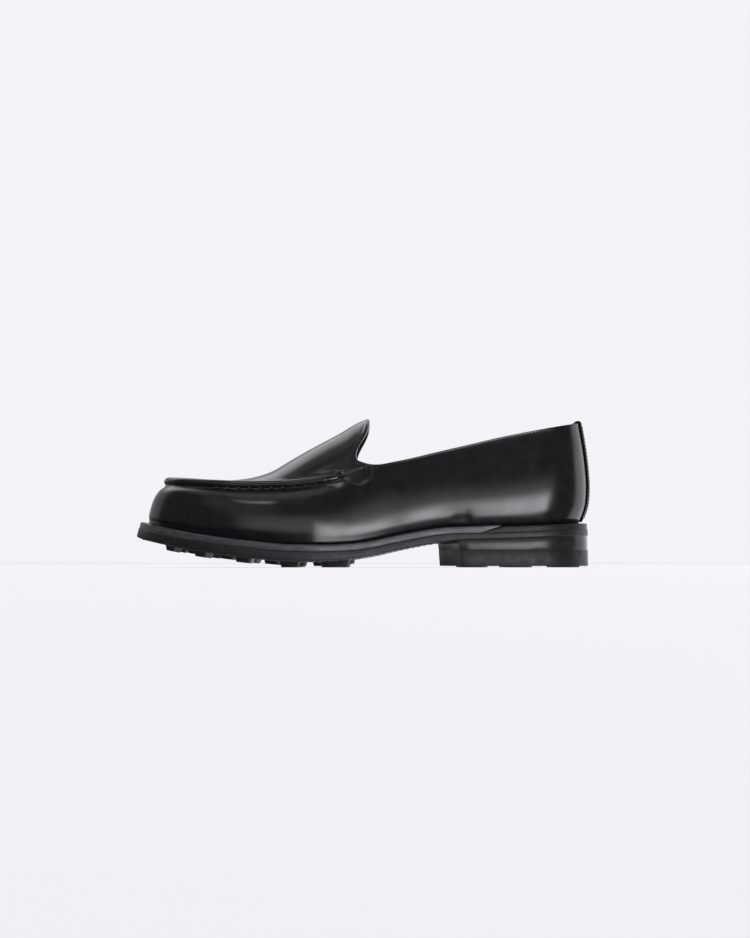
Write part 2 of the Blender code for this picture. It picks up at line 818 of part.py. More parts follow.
class Side:
    """The upper's side at one spoke, from its feather edge on the welt to its top line or seam."""

    def __init__(self, spoke):
        reach = SOLE.reach(spoke)
        foot = along(spoke, reach - FEATHER_INSET)
        share = along(spoke, reach)[0] / SOLE_LENGTH
        fullest = along(spoke, reach - side_inset(share))
        crest = along(spoke, TOP.reach(spoke))
        self.crest_station = crest[0]
        self.foot = on_sole(*foot, welt_top(foot[0]) + GAP)
        self.full = on_sole(*fullest, welt_top(fullest[0]) + side_height(share))
        self.top = place(*crest, top_height(crest[0]))
        up = on_sole(*fullest, 1.0) - on_sole(*fullest, 0.0)
        slope = math.radians(side_slope(share))
        outward = place(*along(spoke, 1.0), 0.0) - place(*along(spoke, 0.0), 0.0)
        arrive = outward * math.cos(slope) + Vector((0.0, 0.0, math.sin(slope)))
        self.span = (self.top - self.full).length
        self.leave_full = self.full + up * self.span * 0.42
        self.reach_top = self.top - arrive * self.span * side_pull(share)
        rise = self.full - self.foot
        self.leave_foot = self.foot + Vector((rise.x, rise.y, 0.0)) * 0.62 + up * rise.z * 0.22
        self.reach_full = self.full - up * rise.z * 0.50

    def lower(self, t):
        return bezier(self.foot, self.leave_foot, self.reach_full, self.full, t)

    def upper(self, t):
        return bezier(self.full, self.leave_full, self.reach_top, self.top, t)

    def rows(self):
        """Points up the side, the last two on the foot and the shoulder of the raised seam."""
        fade = seam_share(self.crest_station)
        length = self.span * 1.06
        foot_t = 1 - (SEAM_WIDTH / 2 * fade + SEAM_TAPER + 0.0008 * (1 - fade)) / length
        shoulder_t = 1 - SEAM_WIDTH / 2 * fade / length
        steps = 6
        return [
            *(self.lower(t) for t in (0.0, 0.33, 0.66)),
            *(self.upper(foot_t * k / steps) for k in range(steps + 1)),
            self.upper(shoulder_t),
        ]


def arch(share, station):
    """Height share of the apron at a share of its half width: a low dome in front, a round instep behind."""
    span = TOE_FAN_STATION - QUARTER_LOW_STATION
    ahead = min(max((station - QUARTER_LOW_STATION) / span, 0.0), 1.0)
    power = 0.5 + 0.5 * ahead
    return max(1 - share * share, 0.0) ** power


class Instep:
    """The apron and tongue: a surface over the plan inside the seam."""

    @staticmethod
    def height(station, across):
        if station > TOE_FAN_STATION:
            away = Vector((station - TOE_FAN_STATION, across - TOE_SWING))
            distance = away.length
            spoke = Spoke(TOE_FAN_STATION, TOE_SWING, away.x / distance, away.y / distance)
            reach = TOP.reach(spoke)
            low = top_height(along(spoke, reach)[0])
            share, high = distance / reach, crown_height(TOE_FAN_STATION)
        else:
            outer, inner = TOP.sides(station)
            share = (across - (outer + inner) / 2) / ((inner - outer) / 2)
            low, high = top_height(station), crown_height(station)
        return low + (high - low) * arch(min(abs(share), 1.0), station)

    @classmethod
    def point(cls, station, across):
        return place(station, across, cls.height(station, across))


def inward(spoke, distance):
    """Station and place across on the instep, at a distance over its surface from the seam line."""
    reach = TOP.reach(spoke)
    start = Instep.point(*along(spoke, reach))
    near, far = reach * 0.7, reach
    for _ in range(40):
        middle = (near + far) / 2
        if (Instep.point(*along(spoke, middle)) - start).length > distance:
            near = middle
        else:
            far = middle
    return along(spoke, far)


def tongue_row():
    """The tongue's edge from the outer side over the instep to the inner side."""
    row = []
    outline = [(angle, -1) for angle in ARCH_COLUMNS] + [(angle, 1) for angle in ARCH_COLUMNS[-2::-1]]
    for angle, side in outline:
        station = tongue_edge(angle)
        outer, inner = TOP.sides(station)
        share = math.cos(math.radians(angle))
        row.append((station, (outer + inner) / 2 + side * (inner - outer) / 2 * share))
    return row


def apron_grid(seam_points, front_steps):
    """Rows of the apron from the toe to the tongue, inside the raised seam.

    seam_points holds station and place across of the seam's inner foot, from the outer low point of the
    quarter round the toe to the inner one; the front row takes front_steps of them on each side of the tip.
    """
    count = len(seam_points)
    tip = count // 2
    front = seam_points[tip - front_steps : tip + front_steps + 1]
    sides = [(seam_points[tip - front_steps - i], seam_points[tip + front_steps + i]) for i in
             range(count // 2 - front_steps + 1)]
    last = len(sides) - 1
    back = tongue_row()
    columns = len(front) - 1
    rows = []
    for i, (left, right) in enumerate(sides):
        forward = max(0.0, 1 - i / (last * 0.45)) ** 2
        rearward = max(0.0, (i / last - 0.62) / 0.38) ** 2
        row = []
        for k in range(columns + 1):
            even = k / columns
            angle = math.radians(ARCH_COLUMNS[min(k, columns - k)])
            rounded = (1 - math.cos(angle)) / 2
            rounded = rounded if k <= columns / 2 else 1 - rounded
            blend = min(i / (last * 0.75), 1.0)
            share = even + (rounded - even) * blend
            station = left[0] + (right[0] - left[0]) * share
            across = left[1] + (right[1] - left[1]) * share
            bow = front[k][0] - (front[0][0] + (front[-1][0] - front[0][0]) * share)
            front_share = (front[k][1] - front[0][1]) / (front[-1][1] - front[0][1])
            across += (front_share - even) * forward * (right[1] - left[1])
            station += bow * forward
            station += (back[k][0] - left[0] - (sides[last][0][0] - left[0])) * rearward
            if i == last:
                station, across = back[k]
            row.append((station, across))
        row[0], row[-1] = left, right
        rows.append(row)
    rows[0] = front
    return rows


class Sheet:
    """A sheet of points and faces that grows piece by piece."""

    def __init__(self):
        self.points = []
        self.lift = []
        self.faces = []

    def add(self, point, lift=0.0):
        self.points.append(point)
        self.lift.append(lift)
        return len(self.points) - 1

    def normals(self):
        """Unit normals at the points, from the faces round each."""
        sums = [Vector() for _ in self.points]
        for face in self.faces:
            corners = [self.points[i] for i in face]
            across, over = corners[2] - corners[0], corners[-1] - corners[1]
            turned = across.cross(over)
            for i in face:
                sums[i] += turned
        return [total.normalized() for total in sums]

    def rim(self):
        """Edges that belong to one face only, in the direction of that face."""
        edges = {}
        for face in self.faces:
            for a, b in zip(face, face[1:] + face[:1]):
                edges[a, b] = edges.get((a, b), 0) + 1
        return [(a, b) for a, b in edges if (b, a) not in edges]


def upper_sheet():
    """The upper's middle form: the side all round, the raised seam, the apron and the tongue."""
    spokes = whole_ring()
    ring = [Side(spoke) for spoke in spokes]
    count = len(ring)
    low = HEEL_FAN_STEPS + COLLAR_STEPS
    fore = range(low, count - low + 1)
    sheet = Sheet()
    grid = []
    for side in ring:
        rows = side.rows()
        ridge = SEAM_HEIGHT * seam_share(side.crest_station)
        grid.append([sheet.add(point, ridge if k == len(rows) - 1 else 0.0) for k, point in enumerate(rows)])
    for a, b in zip(grid, grid[1:] + grid[:1]):
        for k in range(len(a) - 1):
            sheet.faces.append((a[k], b[k], b[k + 1], a[k + 1]))
    inner_rows, seam_points = [], []
    for j in fore:
        spoke, side = spokes[j], ring[j]
        fade = seam_share(side.crest_station)
        at_edge = j in (fore[0], fore[-1])
        steps = [straight_spoke(spoke.station + k * SEAM_TAPER, spoke.out_across) for k in (1, 2)]
        shoulder_spoke, foot_spoke = steps if at_edge else (spoke, spoke)
        shoulder = inward(shoulder_spoke, SEAM_WIDTH / 2 * fade + SEAM_TAPER * 0.3 * (1 - fade))
        foot = inward(foot_spoke, SEAM_WIDTH / 2 * fade + SEAM_TAPER * (0.6 + 0.4 * fade))
        seam_points.append(foot)
        inner_rows.append(
            [
                grid[j][-1],
                sheet.add(Instep.point(*shoulder), SEAM_HEIGHT * fade),
                None,
            ]
        )
    rows = apron_grid(seam_points, len(ARCH_COLUMNS) - 1)
    index = [[sheet.add(Instep.point(*point)) for point in row] for row in rows]
    for i, line in enumerate(inner_rows):
        line[2] = index_on_edge(index, i, len(inner_rows))
    for a, b in zip(inner_rows, inner_rows[1:]):
        for k in range(2):
            sheet.faces.append((a[k], b[k], b[k + 1], a[k + 1]))
    for near, far in zip(index, index[1:]):
        for k in range(len(near) - 1):
            sheet.faces.append((near[k], near[k + 1], far[k + 1], far[k]))
    return sheet


def index_on_edge(index, position, count):
    """The apron grid's point beside a seam position counted from the outer low point round the toe."""
    front = len(index[0]) // 2
    tip = count // 2
    if position <= tip - front:
        return index[tip - front - position][0]
    if position >= tip + front:
        return index[position - tip - front][-1]
    return index[0][position - (tip - front)]


def upper(finish, collection):
    """The upper as one hollow wall, open at the collar and under the foot."""
    sheet = upper_sheet()
    normals = sheet.normals()
    middle = place(TOE_FAN_STATION / 2, 0.0, QUARTER_LOW_HEIGHT / 2)
    flip = 1 if normals[0].dot(sheet.points[0] - middle) > 0 else -1
    count = len(sheet.points)
    outside = [p + n * flip * lift for p, n, lift in zip(sheet.points, normals, sheet.lift)]
    inside = [p - n * flip * WALL for p, n in zip(sheet.points, normals)]
    for i in [edge[0] for edge in sheet.rim()]:
        if sheet.points[i].z < QUARTER_LOW_HEIGHT / 2:
            inside[i] = seated(sheet.points[i], inside[i])
    faces = list(sheet.faces)
    faces += [tuple(count + i for i in reversed(face)) for face in sheet.faces]
    faces += [(b, a, count + a, count + b) for a, b in sheet.rim()]
    return solid("upper", outside + inside, faces, finish, collection)


def seated(edge, inner):
    """The inner corner of the feather edge, level with the outer one so that it sits on the welt."""
    level = Vector((inner.x - edge.x, inner.y - edge.y, 0.0))
    return edge + level.normalized() * WALL


def back_strip(finish, collection):
    """The strip over the back seam, turned in over the top line."""
    half = STRIP_WIDTH / 2
    columns = 7
    near, far = [], []
    for k in range(columns):
        share = 2 * k / (columns - 1) - 1
        angle_step = share * half / (HEEL_WIDTH / 2) * HEEL_FAN_STEPS / (math.pi / 2)
        spoke = heel_spoke(abs(angle_step), -1 if share < 0 else 1)
        side = Side(spoke)
        path = [side.lower(t) for t in (0.12, 0.40, 0.70)] + [side.upper(i / 9) for i in range(10)]
        outward = place(*along(spoke, 1.0), 0.0) - place(*along(spoke, 0.0), 0.0)
        normals = []
        for i in range(len(path)):
            run = path[min(i + 1, len(path) - 1)] - path[max(i - 1, 0)]
            run.normalize()
            normals.append((outward - run * run.dot(outward)).normalized())
        top, out = path[-1], normals[-1]
        up = Vector((0.0, 0.0, 1.0))
        inner_face = top - out * WALL
        centre = top - out * WALL / 2
        fold = [centre + out * math.cos(a) * WALL / 2 + up * math.sin(a) * WALL / 4 for a in
                (math.radians(d) for d in (50, 90, 130))]
        fold_out = [(out * math.cos(a) + up * math.sin(a)).normalized() for a in
                    (math.radians(d) for d in (50, 90, 130))]
        down = [inner_face - up * STRIP_TURN_IN * t for t in (0.05, 0.5, 1.0)]
        full = path + fold + down
        away = normals + fold_out + [-out] * 3
        for rows, distance in ((near, GAP), (far, GAP + STRIP_THICKNESS)):
            line = [p + n * distance for p, n in zip(full, away)]
            rows.append([Vector((p.x, p.y, max(p.z, side.foot.z))) for p in line])
    return slab("back_strip", near, far, finish, collection)


def build():
    for left in list(bpy.data.objects):
        bpy.data.objects.remove(left)
    shoe = collection_named("venetian_loafer")
    helpers = collection_named("cutters_and_joined_pieces")
    helpers.hide_render = True
    leather = material("black_leather", (0.012, 0.012, 0.013), 0.25)
    edge_leather = material("edge_leather", (0.018, 0.018, 0.020), 0.45)
    rubber = material("black_rubber", (0.020, 0.021, 0.023), 0.60)
    tan = material("tan_leather", (0.36, 0.22, 0.12), 0.55)
    outsole(rubber, shoe, helpers)
    heel(rubber, edge_leather, shoe, helpers)
    welt(edge_leather, shoe)
    heel_rand(edge_leather, shoe)
    insole(tan, shoe)
    upper(leather, shoe)
    back_strip(leather, shoe)


build()
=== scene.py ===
"""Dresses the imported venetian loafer: polished leather, sewing, edges, rubber, lining and sock."""
import math

import bpy
from mathutils import Matrix, Vector
from mathutils.bvhtree import BVHTree
from mathutils.kdtree import KDTree


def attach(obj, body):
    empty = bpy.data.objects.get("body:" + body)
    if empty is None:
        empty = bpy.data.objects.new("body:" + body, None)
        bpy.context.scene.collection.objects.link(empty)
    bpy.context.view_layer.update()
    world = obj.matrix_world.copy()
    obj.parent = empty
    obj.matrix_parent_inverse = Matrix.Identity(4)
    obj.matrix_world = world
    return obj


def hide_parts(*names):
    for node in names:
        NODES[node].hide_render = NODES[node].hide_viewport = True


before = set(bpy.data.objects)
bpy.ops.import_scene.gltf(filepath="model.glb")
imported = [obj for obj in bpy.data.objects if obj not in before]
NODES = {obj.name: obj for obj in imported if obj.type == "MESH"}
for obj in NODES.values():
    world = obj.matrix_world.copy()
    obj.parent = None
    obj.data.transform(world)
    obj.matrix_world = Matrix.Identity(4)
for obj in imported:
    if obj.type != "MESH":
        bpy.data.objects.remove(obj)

for startup in ("Cube", "Light", "Camera"):
    if startup in bpy.data.objects:
        bpy.data.objects.remove(bpy.data.objects[startup])
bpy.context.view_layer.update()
BODY = "root"
MM = 0.001
# Millimetres from the sole's back to the middle of the shoe
MIDDLE = 149.35
OUTER, INNER = -1, 1
UP = Vector((0, 0, 1))

# The apron seam, from the quarters' low points to the tip of the toe, in millimetres:
# station and place across on the outer side, the same on the inner side, and height
SEAM_ROWS = (
    (152.7, -32.7, 152.7, 31.3, 62.5),
    (159.7, -33.1, 159.7, 31.4, 59.6),
    (166.7, -33.4, 166.7, 31.6, 56.9),
    (173.7, -33.7, 173.7, 32.0, 55.3),
    (180.8, -34.0, 180.8, 32.5, 54.2),
    (187.8, -34.3, 187.8, 33.0, 53.2),
    (194.8, -34.4, 194.8, 33.4, 52.4),
    (201.8, -34.4, 201.8, 33.8, 52.0),
    (208.9, -34.2, 208.9, 34.2, 51.9),
    (215.9, -34.0, 215.9, 34.6, 51.7),
    (222.9, -33.6, 222.9, 34.8, 51.7),
    (229.9, -33.3, 229.9, 35.0, 51.9),
    (237.0, -32.6, 237.0, 35.1, 52.2),
    (244.0, -31.3, 244.0, 34.8, 52.6),
    (248.7, -29.9, 247.8, 34.2, 52.9),
    (253.1, -28.2, 251.4, 33.4, 53.2),
    (257.2, -26.3, 255.1, 32.3, 53.6),
    (261.1, -24.0, 258.6, 30.9, 54.0),
    (264.8, -21.5, 262.1, 29.2, 54.3),
    (268.2, -18.6, 265.4, 27.0, 54.6),
    (271.3, -15.3, 268.5, 24.4, 54.9),
    (274.0, -11.7, 271.4, 21.5, 55.2),
    (276.2, -7.7, 274.0, 18.1, 55.4),
    (277.7, -3.4, 276.1, 14.2, 55.6),
    (278.4, 1.1, 277.6, 10.1, 55.7),
    (278.4, 5.6, 278.4, 5.6, 55.7),
)

# The top line from the back to the quarters' low points: station, place across on the outer and on the
# inner side, height
TOP_ROWS = (
    (4.8, 0.6, 0.6, 95.2),
    (5.6, -5.9, 6.9, 95.0),
    (9.3, -13.6, 14.8, 94.3),
    (16.5, -20.2, 21.4, 92.9),
    (25.1, -23.9, 24.8, 91.2),
    (34.0, -25.0, 25.8, 89.5),
    (48.9, -25.3, 25.9, 86.6),
    (63.9, -25.7, 26.4, 83.5),
    (78.8, -26.3, 27.0, 79.9),
    (93.8, -27.3, 27.7, 76.4),
    (108.7, -28.6, 28.7, 72.7),
    (123.7, -30.2, 29.9, 69.2),
    (138.6, -31.7, 30.9, 66.3),
)

# The tongue's edge from the outer low point to its middle: station, across on the outer and on the inner
# side, height
TONGUE_ROWS = (
    (146.8, -32.8, 30.4, 66.7),
    (151.8, -32.6, 29.9, 68.5),
    (153.7, -31.3, 28.5, 72.4),
    (152.2, -28.5, 25.8, 79.0),
    (147.8, -23.7, 21.2, 87.3),
    (145.8, -17.0, 14.6, 93.6),
    (145.4, -9.4, 7.0, 97.3),
    (145.3, -1.2, -1.2, 98.5),
)

# The sole's edge where the welt is sewn, from over the heel to the tip of the toe: station and across on
# the outer side, the same on the inner side, height of the lower edge, thickness of the rubber
SOLE_ROWS = (
    (63.9, -36.0, 63.9, 34.3, 18.4, 3.8),
    (78.8, -36.3, 78.8, 34.2, 18.0, 3.9),
    (93.8, -36.8, 93.8, 34.0, 17.0, 4.7),
    (108.7, -38.7, 108.7, 32.9, 14.7, 4.9),
    (123.7, -40.4, 123.7, 32.6, 11.8, 4.9),
    (138.6, -42.8, 138.6, 33.9, 8.5, 4.9),
    (152.7, -45.7, 152.7, 36.0, 6.0, 5.1),
    (166.7, -49.3, 166.7, 40.2, 4.7, 5.6),
    (180.8, -52.4, 180.8, 45.1, 4.1, 6.0),
    (194.8, -53.8, 194.8, 48.6, 4.3, 6.0),
    (208.9, -54.3, 208.9, 51.6, 5.2, 6.0),
    (222.9, -53.3, 222.9, 53.0, 6.8, 6.0),
    (244.0, -49.2, 244.0, 52.0, 9.4, 6.0),
    (257.1, -43.8, 255.8, 49.1, 11.3, 6.0),
    (268.4, -37.2, 266.8, 44.5, 13.4, 6.0),
    (279.1, -30.1, 277.8, 38.8, 15.6, 6.0),
    (289.3, -21.2, 288.7, 30.8, 17.9, 6.0),
    (297.2, -9.3, 297.1, 19.2, 19.8, 6.0),
    (300.0, 5.0, 300.0, 5.0, 20.5, 6.0),
)

# The rest in millimetres too. What closes the hairline between two pieces:
HAIRLINE = 0.28
# How far inside the collar's edge its bead and its sewing lie, and how deep the leather is turned in at
# the quarters, and how much deeper at the tongue
BEAD_IN, SEWING_IN = 1.6, 2.6
TURNED_IN, TURNED_IN_MORE = 4.5, 11.5
# The station where the apron's hand sewing starts
SEWN_FROM = 171.9
# How far apart the stitches of each row are, and their length and thickness
HAND_PITCH, HAND_STITCH = 7.15, (1.8, 0.6)
FINE_PITCH, FINE_STITCH = 2.4, (2.0, 0.55)
WELT_PITCH, WELT_STITCH = 3.2, (2.8, 0.9)
SOLE_PITCH, SOLE_STITCH = 4.0, (3.2, 0.9)
# How far the welt's row and the sole's row lie inside the sole's edge
WELT_ROW_IN, SOLE_ROW_IN = 2.6, 4.2
# How far the apron's hand stitches lie outside the seam
HAND_ROW_OUT = 2.3
# How far the apron sinks toward the toe
APRON_DROP = 1.6

# Angles: the back strip's two rows to either side of straight back, and what counts as an edge to soften
STRIP_ROW_TURN = 0.215
SHARP = math.radians(35)


def at(station, across, height):
    """A place on the shoe from millimetres: forward of the sole's back, towards the inner side, up."""
    return Vector(((MIDDLE - station) * MM, across * MM, height * MM))


def station_of(place):
    return MIDDLE - place.x / MM


def curve_through(points, closed=False):
    """Fine places on a smooth curve through the points."""
    if closed:
        ends = [points[-1], *points, points[0], points[1]]
    else:
        ends = [2 * points[0] - points[1], *points, 2 * points[-1] - points[-2]]
    fine = [ends[1]]
    for p0, p1, p2, p3 in zip(ends, ends[1:], ends[2:], ends[3:]):
        steps = max(3, int((p2 - p1).length / (0.25 * MM)))
        for i in range(1, steps + 1):
            t = i / steps
            fine.append(
                0.5 * (2 * p1 + (p2 - p0) * t + (2 * p0 - 5 * p1 + 4 * p2 - p3) * t * t
                       + (3 * p1 - p0 - 3 * p2 + p3) * t**3)
            )
    return fine


def spaced(fine, pitch):
    """Places a pitch in millimetres apart on a fine line, with the line's direction at each."""
    total = sum((b - a).length for a, b in zip(fine, fine[1:]))
    count = max(1, round(total / (pitch * MM)))
    step, placed, walked = total / count, [], 0.0
    for a, b in zip(fine, fine[1:]):
        length = (b - a).length
        while len(placed) <= count and walked + length >= step * len(placed) - 1e-9:
            share = (step * len(placed) - walked) / length if length else 0.0
            placed.append((a.lerp(b, share), (b - a).normalized()))
        walked += length
    return placed


def deselect():
    bpy.ops.object.select_all(action="DESELECT")


def pick(piece):
    """Makes a piece the only selected and active one."""
    deselect()
    piece.select_set(True)
    bpy.context.view_layer.objects.active = piece


def apply(piece, kind, **settings):
    """Adds a modifier to a piece and applies it."""
    pick(piece)
    modifier = piece.modifiers.new(kind.lower(), kind)
    for name, value in settings.items():
        setattr(modifier, name, value)
    bpy.ops.object.modifier_apply(modifier=modifier.name)


def declare(piece):
    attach(piece, BODY)


def merged_copy(node, name):
    """A copy of a CAD node as one merged mesh, of quads where it can be, which stands for the node."""
    piece = NODES[node].copy()
    piece.data = NODES[node].data.copy()
    piece.name = piece.data.name = name
    bpy.context.scene.collection.objects.link(piece)
    piece.parent = None
    piece.matrix_world = Matrix.Identity(4)
    pick(piece)
    bpy.ops.mesh.customdata_custom_splitnormals_clear()
    bpy.ops.object.mode_set(mode="EDIT")
    bpy.ops.mesh.select_all(action="SELECT")
    bpy.ops.mesh.remove_doubles(threshold=0.00001)
    bpy.ops.mesh.mark_sharp(clear=True)
    bpy.ops.mesh.tris_convert_to_quads(
        face_threshold=math.pi, shape_threshold=math.pi, topology_influence=2.0
    )
    bpy.ops.object.mode_set(mode="OBJECT")
    declare(piece)
    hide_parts(node)
    return piece


def close_gap(piece, up, down):
    """Moves a piece's level faces up and down by millimetres, onto its neighbours."""
    moves = {}
    for face in piece.data.polygons:
        step = up if face.normal.z > 0.7 else -down if face.normal.z < -0.7 else 0
        if step:
            moves.update(dict.fromkeys(face.vertices, step * MM))
    for index, move in moves.items():
        piece.data.vertices[index].co.z += move
    piece.data.update()


def rounded(piece):
    """Subdivides a piece smoothly, with the new surface still through the CAD's own points."""
    goal = [vertex.co.copy() for vertex in piece.data.vertices]
    modifier = piece.modifiers.new("rounding", "SUBSURF")
    modifier.levels = modifier.render_levels = 2
    # Four rounds bring the surface back onto the points
    for _ in range(4):
        smooth = piece.evaluated_get(bpy.context.evaluated_depsgraph_get())
        reached = [smooth.data.vertices[i].co.copy() for i in range(len(goal))]
        for vertex, wanted, got in zip(piece.data.vertices, goal, reached):
            vertex.co += wanted - got
        piece.data.update()
    pick(piece)
    bpy.ops.object.modifier_apply(modifier=modifier.name)
    bpy.ops.object.shade_smooth()


def finish_with(piece, *finishes):
    piece.data.materials.clear()
    for finish in finishes:
        piece.data.materials.append(finish)


def skin_of(piece):
    """The surface of a piece's faces with its first material, for placing things on it."""
    return BVHTree.FromPolygons(
        [v.co for v in piece.data.vertices],
        [tuple(p.vertices) for p in piece.data.polygons if p.material_index == 0],
    )


def nearest(tree, place):
    found, normal, _, _ = tree.find_nearest(place)
    return found, normal


def on_side(tree, station, height, side):
    """Where a line across the shoe meets its side."""
    found, _, _, _ = tree.ray_cast(at(station, side * 90, height), Vector((0, -side, 0)))
    return found


def distances(path):
    """A function that gives how far a place is from the nearest point of a path."""
    tree = KDTree(len(path))
    for i, point in enumerate(path):
        tree.insert(point, i)
    tree.balance()
    return lambda place: tree.find(place)[2]


def eased(value, low, high):
    """Rises smoothly from 0 to 1 between two values."""
    share = min(max((value - low) / (high - low), 0), 1)
    return share * share * (3 - 2 * share)


def refine(piece, wanted):
    """Splits the outer faces whose centres pass the test."""
    pick(piece)
    bpy.ops.object.mode_set(mode="EDIT")
    bpy.ops.mesh.select_mode(type="FACE")
    bpy.ops.mesh.select_all(action="DESELECT")
    bpy.ops.object.mode_set(mode="OBJECT")
    for face in piece.data.polygons:
        face.select = face.material_index == 0 and wanted(face.center)
    bpy.ops.object.mode_set(mode="EDIT")
    bpy.ops.mesh.subdivide(number_cuts=1, smoothness=1.0)
    bpy.ops.object.mode_set(mode="OBJECT")


def press(piece, path, depth, width):
    """Presses a soft trough along a path into a piece's outer skin; a negative depth raises a ridge."""
    away = distances(path)
    mesh = piece.data
    inside = set()
    for face in mesh.polygons:
        if face.material_index:
            inside.update(face.vertices)
    moves = []
    for vertex in mesh.vertices:
        if vertex.index in inside:
            continue
        distance = away(vertex.co)
        if distance < 3 * width * MM:
            soft = math.exp(-((distance / (width * MM)) ** 2))
            moves.append((vertex, vertex.normal * (depth * MM * soft)))
    for vertex, move in moves:
        vertex.co -= move
    mesh.update()


# Finishes
def plain(name, colour, roughness, **sockets):
    """A shader of one colour; sockets are set by their names with underscores."""
    made = bpy.data.materials.new(name)
    made.use_nodes = True
    shader = made.node_tree.nodes["Principled BSDF"]
    shader.inputs["Base Color"].default_value = (*colour, 1)
    shader.inputs["Roughness"].default_value = roughness
    for socket, value in sockets.items():
        shader.inputs[socket.replace("_", " ")].default_value = value
    return made


def pattern(tree, kind, size, detail, stretch=(1, 1, 1)):
    """Noise or cells of a size in millimetres on the piece's own coordinates."""
    place = tree.nodes.new("ShaderNodeTexCoord")
    turn = tree.nodes.new("ShaderNodeMapping")
    turn.inputs["Scale"].default_value = stretch
    tree.links.new(place.outputs["Object"], turn.inputs["Vector"])
    made = tree.nodes.new("ShaderNodeTexNoise" if kind == "noise" else "ShaderNodeTexVoronoi")
    if kind == "noise":
        made.inputs["Detail"].default_value = detail
    else:
        made.feature = "SMOOTH_F1"
        made.inputs["Smoothness"].default_value = detail
    made.inputs["Scale"].default_value = 1 / (size * MM)
    tree.links.new(turn.outputs["Vector"], made.inputs["Vector"])
    return made.outputs["Fac" if kind == "noise" else "Distance"]


def grain(material, *layers):
    """Bump from layers of kind, size and depth in millimetres, detail and stretch."""
    tree = material.node_tree
    last = None
    for kind, size, depth, detail, *stretch in layers:
        bump = tree.nodes.new("ShaderNodeBump")
        bump.inputs["Strength"].default_value = 1.0
        bump.inputs["Distance"].default_value = depth * MM
        tree.links.new(pattern(tree, kind, size, detail, *stretch), bump.inputs["Height"])
        if last:
            tree.links.new(last.outputs["Normal"], bump.inputs["Normal"])
        last = bump
    tree.links.new(last.outputs["Normal"], tree.nodes["Principled BSDF"].inputs["Normal"])


def wander(material, socket, size, low, high, detail=3.0, stretch=(1, 1, 1)):
    """Lets a socket wander between two values or two colours, in patches of a size in millimetres."""
    tree = material.node_tree
    if isinstance(low, tuple):
        ramp = tree.nodes.new("ShaderNodeValToRGB")
        for stop, place, colour in zip(ramp.color_ramp.elements, (0.35, 0.65), (low, high)):
            stop.position, stop.color = place, (*colour, 1)
        tree.links.new(pattern(tree, "noise", size, detail, stretch), ramp.inputs["Fac"])
        made = ramp.outputs["Color"]
    else:
        ramp = tree.nodes.new("ShaderNodeMapRange")
        for name, value in (("From Min", 0.3), ("From Max", 0.7), ("To Min", low), ("To Max", high)):
            ramp.inputs[name].default_value = value
        tree.links.new(pattern(tree, "noise", size, detail, stretch), ramp.inputs["Value"])
        made = ramp.outputs["Result"]
    tree.links.new(made, tree.nodes["Principled BSDF"].inputs[socket])


def polished_leather(name):
    made = plain(name, (0.008, 0.008, 0.009), 0.2)
    wander(made, "Base Color", 6, (0.006, 0.006, 0.007), (0.010, 0.010, 0.011))
    wander(made, "Roughness", 9, 0.16, 0.22)
    grain(
        made,
        ("noise", 1.0, 0.006, 4.0),
        ("noise", 2.5, 0.010, 2.0, (3.0, 3.0, 0.35)),
        ("cells", 0.5, 0.004, 0.6),
    )
    return made


calf = polished_leather("polished_black_calf")
strip_calf = polished_leather("polished_black_strip")
lining_leather = plain("tan_lining", (0.42, 0.26, 0.145), 0.55)
wander(lining_leather, "Base Color", 8, (0.38, 0.23, 0.125), (0.45, 0.285, 0.16))
grain(lining_leather, ("noise", 0.9, 0.03, 4.0), ("cells", 0.6, 0.015, 0.5))
sock_leather = plain("tan_sock", (0.45, 0.28, 0.155), 0.50)
wander(sock_leather, "Base Color", 10, (0.41, 0.25, 0.135), (0.48, 0.30, 0.17))
grain(sock_leather, ("noise", 0.9, 0.03, 4.0), ("cells", 0.6, 0.015, 0.5))


def waxed_edge(name, grey, shine):
    dark, pale = (0.7 * grey, 0.7 * grey, 0.8 * grey), (1.3 * grey, 1.3 * grey, 1.4 * grey)
    made = plain(name, (grey, grey, 1.1 * grey), 0.4, Specular_IOR_Level=shine)
    wander(made, "Base Color", 3, dark, pale, 5.0, (0.4, 0.4, 2.0))
    wander(made, "Roughness", 4, 0.34, 0.46)
    grain(made, ("noise", 0.8, 0.02, 5.0, (0.6, 0.6, 2.0)))
    return made


welt_leather = waxed_edge("waxed_black_welt", 0.05, 0.5)
rand_leather = waxed_edge("waxed_black_rand", 0.016, 0.2)
stack_leather = plain("polished_heel_stack", (0.016, 0.016, 0.018), 0.22, Specular_IOR_Level=0.3)
wander(
    stack_leather, "Base Color", 2.5, (0.012, 0.012, 0.013), (0.020, 0.020, 0.022), 4.0, (0.3, 0.3, 3.0)
)
wander(stack_leather, "Roughness", 5, 0.18, 0.28)
grain(stack_leather, ("noise", 2.4, 0.02, 2.0, (0.2, 0.2, 3.0)), ("noise", 0.8, 0.006, 4.0))


def moulded_rubber(name, shine):
    made = plain(name, (0.012, 0.0125, 0.014), 0.46, Specular_IOR_Level=shine)
    wander(made, "Base Color", 3, (0.009, 0.0095, 0.011), (0.015, 0.0155, 0.017), 6.0)
    wander(made, "Roughness", 4, 0.40, 0.52, 5.0)
    grain(made, ("noise", 0.35, 0.015, 3.0))
    return made


rubber = moulded_rubber("black_rubber", 0.38)
heel_rubber = moulded_rubber("black_heel_rubber", 0.28)


def waxed_thread(name, colour, roughness):
    made = plain(name, colour, roughness)
    wander(made, "Base Color", 1.5, tuple(c * 0.8 for c in colour), tuple(c * 1.2 for c in colour))
    grain(made, ("noise", 0.3, 0.03, 2.0))
    return made


